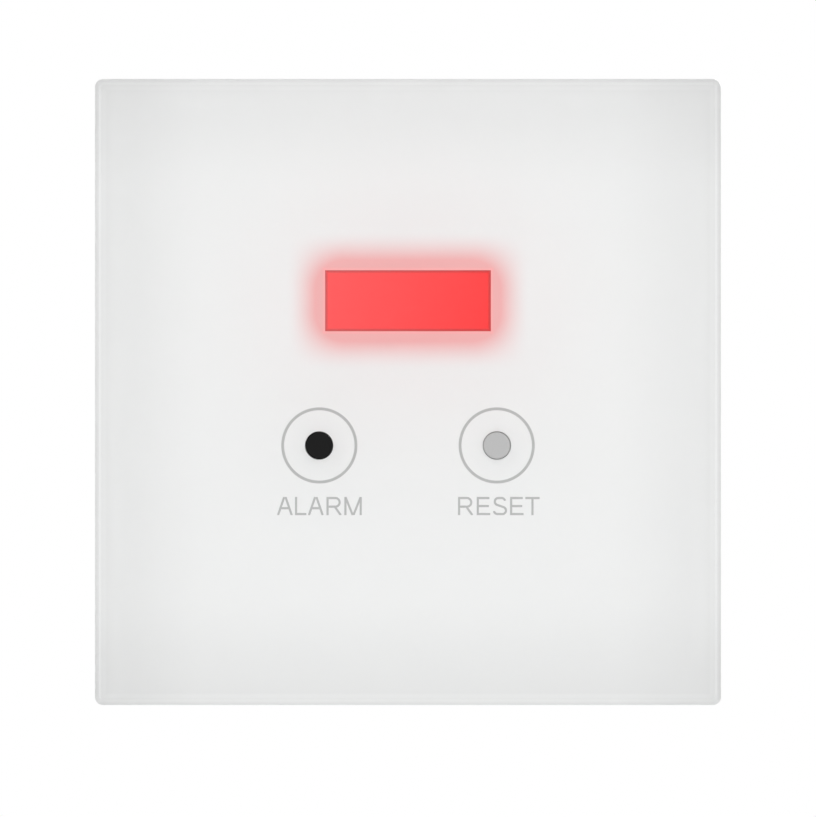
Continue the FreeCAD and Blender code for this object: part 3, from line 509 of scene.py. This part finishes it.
def grey_ink(name, settings):
    """Screen-printed grey with a fine mesh speckle."""
    speck_scale, speck_contrast = 5000.0, 0.02
    material, shader = new_material(name)
    speck = noise(material, here(material), speck_scale)
    mottle(material, shader, speck, settings.grey, 1 - speck_contrast, 1 + speck_contrast)
    make_matt(shader)
    return material


def make_matt(shader):
    """The dull surface of dried ink."""
    shader.inputs["Roughness"].default_value = 0.6
    shader.inputs["Specular IOR Level"].default_value = 0.1


def lit_lens(name, window):
    """Red lens lit from behind: palest at the upper left, deepest at the lower right, with a painted shadow that dims
    it along its edge.
    """
    deeper_per_metre_down, shadowed_edge_light, frost_scale, frost_light = 12.0, 0.5, 900.0, 0.985
    material, shader = new_material(name)
    vector = here(material)
    parts = by_axis(material, vector)
    along = remap(material, parts["X"], -window.width / 2, window.width / 2, 0.0, 1.0)
    down = product(material, maths(material, "SUBTRACT", LENS_CENTRE.z, parts["Z"]), deeper_per_metre_down)
    deepness = maths(material, "ADD", along, down, clamp=True)
    split = material.node_tree.nodes.new("ShaderNodeSeparateColor")
    feed(material, tones(material, deepness, tuple(window.left), tuple(window.right)), split.inputs["Color"])
    inside = product(material, maths(material, "MAXIMUM", *beyond_window(material, parts, window)), -1.0)
    # Painted shadow: the lens's light falls to shadowed_edge_light along its edge, standing in for the shadow of the
    # window opening's edge.
    painted_edge_shadow = remap(material, inside, 0.0, window.edge, shadowed_edge_light, 1.0, smooth=True)
    frosted = over_range(material, noise(material, vector, frost_scale), frost_light, 1.0)
    colour = material.node_tree.nodes.new("ShaderNodeCombineColor")
    feed(material, product(material, painted_edge_shadow, frosted, split.outputs["Red"]), colour.inputs["Red"])
    for channel in ("Green", "Blue"):
        feed(material, split.outputs[channel], colour.inputs[channel])
    feed(material, colour.outputs["Color"], shader.inputs["Emission Color"])
    shader.inputs["Base Color"].default_value = (0.12, 0.005, 0.005, 1)
    shader.inputs["Emission Strength"].default_value = 1.0
    shader.inputs["Roughness"].default_value = 0.35
    shader.inputs["Specular IOR Level"].default_value = 0.05
    return material


# Shapes

RING_STEPS = 128

# How close, in metres, two corners are one, and a corner lies in a plane.
SAME_CORNER, IN_PLANE = 1e-7, 1e-6


def finished(name, shape, material, body):
    """Make the object of a finished shape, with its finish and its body."""
    mesh = bpy.data.meshes.new(name)
    shape.to_mesh(mesh)
    shape.free()
    item = bpy.data.objects.new(name, mesh)
    bpy.context.scene.collection.objects.link(item)
    mesh.materials.append(material)
    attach(item, body)
    return item


def thicken(shape, thickness):
    """Give flat faces that look to the room a thickness in front of them."""
    extruded = bmesh.ops.extrude_face_region(shape, geom=list(shape.faces))
    moved = [piece for piece in extruded["geom"] if isinstance(piece, bmesh.types.BMVert)]
    bmesh.ops.translate(shape, verts=moved, vec=(0, -thickness, 0))
    bmesh.ops.recalc_face_normals(shape, faces=shape.faces)


def ring_shape(centre, diameter, line):
    """A printed ring: one short edge spun round the key's axis."""
    shape = bmesh.new()
    inner = shape.verts.new((centre.x + diameter / 2 - line, WHITE_FRONT, centre.z))
    outer = shape.verts.new((centre.x + diameter / 2, WHITE_FRONT, centre.z))
    edge = shape.edges.new((inner, outer))
    bmesh.ops.spin(shape, geom=[inner, outer, edge], cent=(centre.x, WHITE_FRONT, centre.z), axis=(0, 1, 0),
                   angle=2 * math.pi, steps=RING_STEPS, use_merge=True)
    thicken(shape, INK_THICKNESS)
    return shape


# Plain capitals, drawn flat with strokes of one width. The height of a capital is 1.

STROKE = 0.118

# The trims that cut a slanting stroke level at a letter's foot and head.
BASE = ((0, 0), (0, -1))
TOP = ((0, 1), (0, 1))

# A curved stroke has a step for so many degrees, and at least so many steps.
BOW_STEP_DEGREES, BOW_LEAST_STEPS = 9, 6

# How close a corner lies on a trim, and two corners of a word are one.
ON_TRIM, SAME_WORD_CORNER = 1e-6, 1e-5


def bar(shape, start, end, *trims):
    """A straight stroke. Each trim is a point and a direction: what lies beyond it is cut off."""
    start, end = Vector((*start, 0)), Vector((*end, 0))
    along = end - start
    made = bmesh.ops.create_grid(shape, x_segments=1, y_segments=1, size=0.5)["verts"]
    bmesh.ops.scale(shape, verts=made, vec=(along.length, STROKE, 1))
    turn = Matrix.Rotation(math.atan2(along.y, along.x), 3, "Z")
    bmesh.ops.rotate(shape, verts=made, cent=(0, 0, 0), matrix=turn)
    bmesh.ops.translate(shape, verts=made, vec=(start + end) / 2)
    faces = {face for vertex in made for face in vertex.link_faces}
    for point, outward in trims:
        geometry = [*faces, *{edge for face in faces for edge in face.edges},
                    *{vertex for face in faces for vertex in face.verts}]
        left = bmesh.ops.bisect_plane(shape, geom=geometry, dist=ON_TRIM, plane_co=(*point, 0),
                                      plane_no=(*outward, 0), clear_outer=True)["geom"]
        faces = {piece for piece in left if isinstance(piece, bmesh.types.BMFace)}


def bow(shape, centre, radius, start, end):
    """A curved stroke about a centre, from one angle to another in degrees."""
    first, turn = math.radians(start), math.radians(end - start)
    ray = Vector((math.cos(first), math.sin(first), 0))
    middle = Vector((*centre, 0))
    ends = [shape.verts.new(middle + ray * (radius + side * STROKE / 2)) for side in (-1, 1)]
    edge = shape.edges.new(ends)
    bmesh.ops.spin(shape, geom=[*ends, edge], cent=middle, axis=(0, 0, 1), angle=turn,
                   steps=max(BOW_LEAST_STEPS, round(abs(end - start) / BOW_STEP_DEGREES)))


def draw_a(shape):
    """Two legs that lean to a narrow head, and a crossbar between them."""
    width, crossing, foot_half, head_half = 0.89, 0.38, 0.0635, 0.035
    middle = width / 2
    lean = middle - foot_half - head_half
    for side in (-1, 1):
        foot, head = middle + side * (middle - foot_half), middle + side * head_half
        inner = (middle + side * (middle - 2 * foot_half), 0)
        bar(shape, (foot, 0), (head, 1), BASE, TOP, ((middle, 0), (-side, 0)))
        bar(shape, (middle, crossing), (foot, crossing), (inner, (side, lean)))
    return width


def draw_e(shape):
    """A stem and three arms, of which the lowest reaches furthest."""
    width, middle_reach, upper_reach = 0.745, 0.67, 0.7
    bar(shape, (STROKE / 2, 0), (STROKE / 2, 1))
    for height, reach in ((STROKE / 2, width), (0.5, middle_reach), (1 - STROKE / 2, upper_reach)):
        bar(shape, (STROKE, height), (reach, height))
    return width


def draw_l(shape):
    """A stem and its foot."""
    width = 0.63
    bar(shape, (STROKE / 2, 0), (STROKE / 2, 1))
    bar(shape, (STROKE, STROKE / 2), (width, STROKE / 2))
    return width


def draw_m(shape):
    """Two stems and two slanting strokes that meet at the foot."""
    width, tip_half = 0.968, 0.02
    middle = width / 2
    for side in (-1, 1):
        stem = middle + side * (middle - STROKE / 2)
        face = middle + side * (middle - STROKE)
        bar(shape, (stem, 0), (stem, 1))
        bar(shape, (stem, 1), (middle + side * tip_half, 0), BASE, TOP, ((middle, 0), (-side, 0)),
            ((face, 0), (side, 0)))
    return width


def draw_r(shape):
    """A stem, a round bowl and a straight leg from the bowl's underside."""
    width, waist, shoulder, hip, foot_half = 0.865, 0.465, 0.79, 0.46, 0.07
    radius = (1 - STROKE / 2 - waist) / 2
    bend = shoulder - STROKE / 2 - radius
    bar(shape, (STROKE / 2, 0), (STROKE / 2, 1))
    for height in (waist, 1 - STROKE / 2):
        bar(shape, (STROKE, height), (bend, height))
    bow(shape, (bend, waist + radius), radius, 90, -90)
    bar(shape, (hip, waist), (width - foot_half, 0), BASE, ((0, waist - STROKE / 2), (0, 1)))
    return width


def draw_s(shape):
    """Two round turns joined by a sloping spine that is tangent to both."""
    width, radius, tuck = 0.78, 0.195, 0.045
    upper_end, lower_end = 15, 190
    low = STROKE / 2 + radius
    high, left, right = 1 - low, low, width - low
    upper, lower = Vector((left + tuck, high)), Vector((right, low))
    between = lower - upper
    touch = math.degrees(math.atan2(between.y, between.x) - math.acos(2 * radius / between.length))
    arm = Vector((math.cos(math.radians(touch)), math.sin(math.radians(touch)))) * radius
    bow(shape, (right - tuck, high), radius, upper_end, 90)
    bar(shape, (left + tuck, 1 - STROKE / 2), (right - tuck, 1 - STROKE / 2))
    bow(shape, upper, radius, 90, 360 + touch)
    bar(shape, upper + arm, lower - arm)
    bow(shape, lower, radius, 180 + touch, -90)
    bar(shape, (left, STROKE / 2), (right, STROKE / 2))
    bow(shape, (left, low), radius, 270, lower_end)
    return width


def draw_t(shape):
    """A top bar on a stem."""
    width = 0.787
    bar(shape, (0, 1 - STROKE / 2), (width, 1 - STROKE / 2))
    bar(shape, (width / 2, 0), (width / 2, 1 - STROKE))
    return width


CAPITALS = {"A": draw_a, "E": draw_e, "L": draw_l, "M": draw_m, "R": draw_r, "S": draw_s, "T": draw_t}

# The usual gap between two letters, and the gaps of the pairs that need another.
LETTER_GAP = 0.15
PAIR_GAPS = {"LA": 0.08, "ET": 0.1, "AL": 0.12, "RM": 0.13, "RE": 0.17, "SE": 0.17}


def word_shape(word, centre, drop, width, height):
    """A printed word of the wanted width and height, upright and facing the room."""
    shape = bmesh.new()
    pen = 0.0
    for number, letter in enumerate(word):
        before = set(shape.verts)
        advance = CAPITALS[letter](shape)
        drawn = [vertex for vertex in shape.verts if vertex not in before]
        bmesh.ops.translate(shape, verts=drawn, vec=(pen, 0, 0))
        pen += advance + PAIR_GAPS.get(word[number:number + 2], LETTER_GAP)
    bmesh.ops.remove_doubles(shape, verts=shape.verts, dist=SAME_WORD_CORNER)
    reach = max(vertex.co.x for vertex in shape.verts)
    bmesh.ops.translate(shape, verts=shape.verts, vec=(-reach / 2, -0.5, 0))
    bmesh.ops.scale(shape, verts=shape.verts, vec=(width / reach, height, 1))
    bmesh.ops.rotate(shape, verts=shape.verts, cent=(0, 0, 0), matrix=Matrix.Rotation(math.pi / 2, 3, "X"))
    bmesh.ops.translate(shape, verts=shape.verts, vec=(centre.x, WHITE_FRONT, centre.z - drop))
    thicken(shape, INK_THICKNESS)
    return shape


def print_shape():
    """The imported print, with its front face brought into the glass that it wets."""
    shape = bmesh.new()
    shape.from_mesh(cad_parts["back_print"].data)
    bmesh.ops.remove_doubles(shape, verts=shape.verts, dist=SAME_CORNER)
    front = [vertex for vertex in shape.verts if abs(vertex.co.y - PRINT_LOW.y) < IN_PLANE]
    bmesh.ops.translate(shape, verts=front, vec=(0, WHITE_FRONT - PRINT_LOW.y, 0))
    return shape


# Operators


class DressGlass(bpy.types.Operator):
    """Give the front glass its clear finish."""

    bl_idname = "alarm_panel.dress_glass"
    bl_label = "Glass"

    def execute(self, context):
        dress(panel_glass("clear_glass"), "front_glass")
        return {"FINISHED"}


class DressPrint(bpy.types.Operator):
    """Give the white print its tone and the glow round the window."""

    bl_idname = "alarm_panel.dress_print"
    bl_label = "White print"

    def execute(self, context):
        scene = context.scene
        ink = white_ink("white_ink", scene.panel_print, scene.panel_window)
        layer = finished("white_print_layer", print_shape(), ink, "panel")
        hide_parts("back_print")
        return {"FINISHED"}


class PrintRingsAndWords(bpy.types.Operator):
    """Print the two rings and the two words."""

    bl_idname = "alarm_panel.print_rings_and_words"
    bl_label = "Rings and words"

    def execute(self, context):
        settings = context.scene.panel_print
        ink = grey_ink("grey_ink", settings)
        for key, centre, word, shift, width in (
                ("alarm", ALARM_CENTRE, settings.alarm_word, 0.0, settings.alarm_word_width),
                ("reset", RESET_CENTRE, settings.reset_word, settings.reset_word_shift, settings.reset_word_width)):
            ring = ring_shape(centre, settings.ring_diameter, settings.ring_line)
            finished(f"{key}_ring", ring, ink, "panel")
            middle = centre + Vector((shift, 0, 0))
            letters = word_shape(word, middle, settings.word_drop, width, settings.word_height)
            finished(f"{key}_word", letters, ink, "panel")
        return {"FINISHED"}


class LightWindow(bpy.types.Operator):
    """Light the red lens behind the window."""

    bl_idname = "alarm_panel.light_window"
    bl_label = "Lit window"

    def execute(self, context):
        dress(lit_lens("lit_red_lens", context.scene.panel_window), "window_lens")
        return {"FINISHED"}


class DressKeys(bpy.types.Operator):
    """Give the two keys and their switches their finishes."""

    bl_idname = "alarm_panel.dress_keys"
    bl_label = "Keys and switches"

    def execute(self, context):
        dress(key_plastic("black_key", (0.009, 0.009, 0.009), specular=0.08), "alarm_plunger")
        dress(key_plastic("grey_key", (0.49, 0.49, 0.49), specular=0.15), "reset_plunger")
        switch = moulded_plastic("switch_black", (0.03, 0.03, 0.03), roughness=0.45, grains=3000.0, depth=0.004 * MM)
        cover = sheet_metal("switch_sheet", (0.72, 0.71, 0.69), roughness=0.3, along="x")
        for key in ("alarm", "reset"):
            dress(switch, f"{key}_switch_body", f"{key}_switch_stem")
            dress(cover, f"{key}_switch_cover")
        return {"FINISHED"}


class DressFrame(bpy.types.Operator):
    """Give the moulded frame, the tape, the light box and the housing their finishes."""

    bl_idname = "alarm_panel.dress_frame"
    bl_label = "Frame and housing"

    def execute(self, context):
        tray = moulded_plastic("frame_white", (0.80, 0.80, 0.79), roughness=0.45, grains=2200.0, depth=0.012 * MM)
        shell = moulded_plastic("housing_white", (0.66, 0.66, 0.64), roughness=0.5, grains=1600.0, depth=0.02 * MM)
        box = moulded_plastic("reflector_white", (0.85, 0.85, 0.85), roughness=0.25, grains=3000.0, depth=0.003 * MM)
        dress(tray, "front_frame")
        dress(shell, "rear_housing")
        dress(box, "light_box")
        dress(foam_tape("foam_tape", (0.05, 0.05, 0.05)), "adhesive_frame")
        return {"FINISHED"}


class DressBoards(bpy.types.Operator):
    """Give the boards and their parts their finishes."""

    bl_idname = "alarm_panel.dress_boards"
    bl_label = "Boards"

    def execute(self, context):
        chip = moulded_plastic("chip_black", (0.035, 0.035, 0.038), roughness=0.55, grains=2500.0, depth=0.01 * MM)
        relay = moulded_plastic("relay_black", (0.02, 0.02, 0.021), roughness=0.3, grains=1800.0, depth=0.006 * MM)
        header = moulded_plastic("header_green", (0.035, 0.25, 0.09), roughness=0.38, grains=2400.0, depth=0.008 * MM)
        lamp = moulded_plastic("lamp_resin", (0.78, 0.62, 0.30), roughness=0.25, grains=3000.0, depth=0.004 * MM)
        dress(solder_mask("green_mask", (0.018, 0.13, 0.05)), "control_board", "main_board")
        dress(chip, "controller_chip", "regulator", "buzzer", "link_header", "link_socket")
        dress(relay, "relay")
        dress(header, "wiring_header")
        dress(lamp, "indicator_leds")
        dress(sheet_metal("tinned_pin", (0.80, 0.79, 0.76), roughness=0.28, along="y"), "wiring_pins", "link_pins")
        dress(sheet_metal("drawn_can", (0.78, 0.78, 0.79), roughness=0.25, along="y"), "capacitors")
        return {"FINISHED"}


class DressMetalwork(bpy.types.Operator):
    """Give the steel plate and the screws their finishes."""

    bl_idname = "alarm_panel.dress_metalwork"
    bl_label = "Plate and screws"

    def execute(self, context):
        dress(galvanised_steel("galvanised_sheet", (0.66, 0.67, 0.69)), "mounting_plate")
        zinc = sheet_metal("zinc_plated", (0.66, 0.67, 0.69), roughness=0.32, along="y")
        dress(zinc, "control_board_screws", "housing_screws")
        return {"FINISHED"}


# The soft lights: their diameter, where each hangs from the panel's centre, in metres, and its power's setting.
LIGHT_SIZE = 0.9
LIGHTS = {
    "left_light": ((-0.6, -1.2, 0.05), "key_power"),
    "right_light": ((0.6, -1.2, 0.05), "key_power"),
    "upper_light": ((0.0, -1.1, 0.65), "top_power"),
    "rear_light": ((0.6, 1.1, 0.5), "back_power"),
}


class SetStage(bpy.types.Operator):
    """Set up the floor, the light and the camera."""

    bl_idname = "alarm_panel.set_stage"
    bl_label = "Stage"

    def execute(self, context):
        scene = context.scene
        settings = scene.panel_stage
        scene.view_settings.view_transform = "Standard"
        scene.view_settings.look = "None"
        lay_floor(scene, settings)
        light_surround(scene, settings)
        for name, (spot, power) in LIGHTS.items():
            hang_light(scene, name, spot, getattr(settings, power))
        set_camera(scene, settings)
        return {"FINISHED"}


def lay_floor(scene, settings):
    """A large pale floor, far below the panel."""
    half_side, cloud_scale, dark, light = 6.0, 3.0, (0.86, 0.86, 0.86), (0.88, 0.88, 0.88)
    shape = bmesh.new()
    bmesh.ops.create_grid(shape, x_segments=1, y_segments=1, size=half_side)
    bmesh.ops.translate(shape, verts=shape.verts, vec=(0, 0, -settings.floor_drop))
    mesh = bpy.data.meshes.new("floor")
    shape.to_mesh(mesh)
    shape.free()
    floor = bpy.data.objects.new("floor", mesh)
    scene.collection.objects.link(floor)
    material, shader = new_material("pale_floor")
    cloud = noise(material, here(material), cloud_scale)
    feed(material, tones(material, cloud, dark, light), shader.inputs["Base Color"])
    shader.inputs["Roughness"].default_value = 0.9
    mesh.materials.append(material)


def light_surround(scene, settings):
    """White all round: full white to the eye, softer as light."""
    world = bpy.data.worlds.new("white_surround")
    world.use_nodes = True
    tree = world.node_tree
    tree.nodes.clear()
    output = tree.nodes.new("ShaderNodeOutputWorld")
    seen, light = tree.nodes.new("ShaderNodeBackground"), tree.nodes.new("ShaderNodeBackground")
    seen.inputs["Color"].default_value = light.inputs["Color"].default_value = (1, 1, 1, 1)
    seen.inputs["Strength"].default_value = 1.0
    light.inputs["Strength"].default_value = settings.surround
    path, mix = tree.nodes.new("ShaderNodeLightPath"), tree.nodes.new("ShaderNodeMixShader")
    tree.links.new(path.outputs["Is Camera Ray"], mix.inputs[0])
    tree.links.new(light.outputs[0], mix.inputs[1])
    tree.links.new(seen.outputs[0], mix.inputs[2])
    tree.links.new(mix.outputs[0], output.inputs["Surface"])
    scene.world = world


def hang_light(scene, name, spot, power):
    """A round soft light that looks at the panel's centre."""
    lamp = bpy.data.lights.new(name, "AREA")
    lamp.shape = "DISK"
    lamp.size = LIGHT_SIZE
    lamp.energy = power
    holder = bpy.data.objects.new(name, lamp)
    holder.location = spot
    holder.rotation_euler = (-Vector(spot)).to_track_quat("-Z", "Y").to_euler()
    scene.collection.objects.link(holder)


def set_camera(scene, settings):
    """A long lens that looks straight at the glass, from where it takes in the wanted height."""
    camera = bpy.data.cameras.new("camera")
    camera.lens = settings.lens
    distance = settings.picture_height * settings.lens / camera.sensor_width
    holder = bpy.data.objects.new("camera", camera)
    holder.location = (0, GLASS_LOW.y - distance, settings.picture_centre)
    holder.rotation_euler = (math.pi / 2, 0, 0)
    scene.collection.objects.link(holder)
    scene.camera = holder


class AlarmPanelSidebar(bpy.types.Panel):
    """Lists the steps that dress the alarm panel, and their settings."""

    bl_idname = "VIEW3D_PT_alarm_panel"
    bl_label = "Alarm Panel"
    bl_space_type = "VIEW_3D"
    bl_region_type = "UI"
    bl_category = "Alarm Panel"

    def draw(self, context):
        for step in STEPS:
            self.layout.operator(step.bl_idname)
        for group in (context.scene.panel_print, context.scene.panel_window, context.scene.panel_stage):
            box = self.layout.box()
            for name in group.bl_rna.properties.keys():
                if name not in ("rna_type", "name"):
                    box.prop(group, name)


STEPS = (SetStage, DressGlass, DressPrint, PrintRingsAndWords, LightWindow, DressKeys, DressFrame, DressBoards,
         DressMetalwork)
SETTINGS = {"panel_print": PrintSettings, "panel_window": WindowSettings, "panel_stage": StageSettings}


def register():
    """Make the settings, the steps and the sidebar known to Blender."""
    for kind in (*SETTINGS.values(), *STEPS, AlarmPanelSidebar):
        bpy.utils.register_class(kind)
    for name, kind in SETTINGS.items():
        setattr(bpy.types.Scene, name, PointerProperty(type=kind))


def unregister():
    """Take them away again."""
    for name in SETTINGS:
        delattr(bpy.types.Scene, name)
    for kind in (AlarmPanelSidebar, *reversed(STEPS), *reversed(tuple(SETTINGS.values()))):
        bpy.utils.unregister_class(kind)


def main():
    """Run every step once."""
    register()
    for step in STEPS:
        group, name = step.bl_idname.split(".")
        getattr(getattr(bpy.ops, group), name)()


if __name__ == "__main__":
    main()
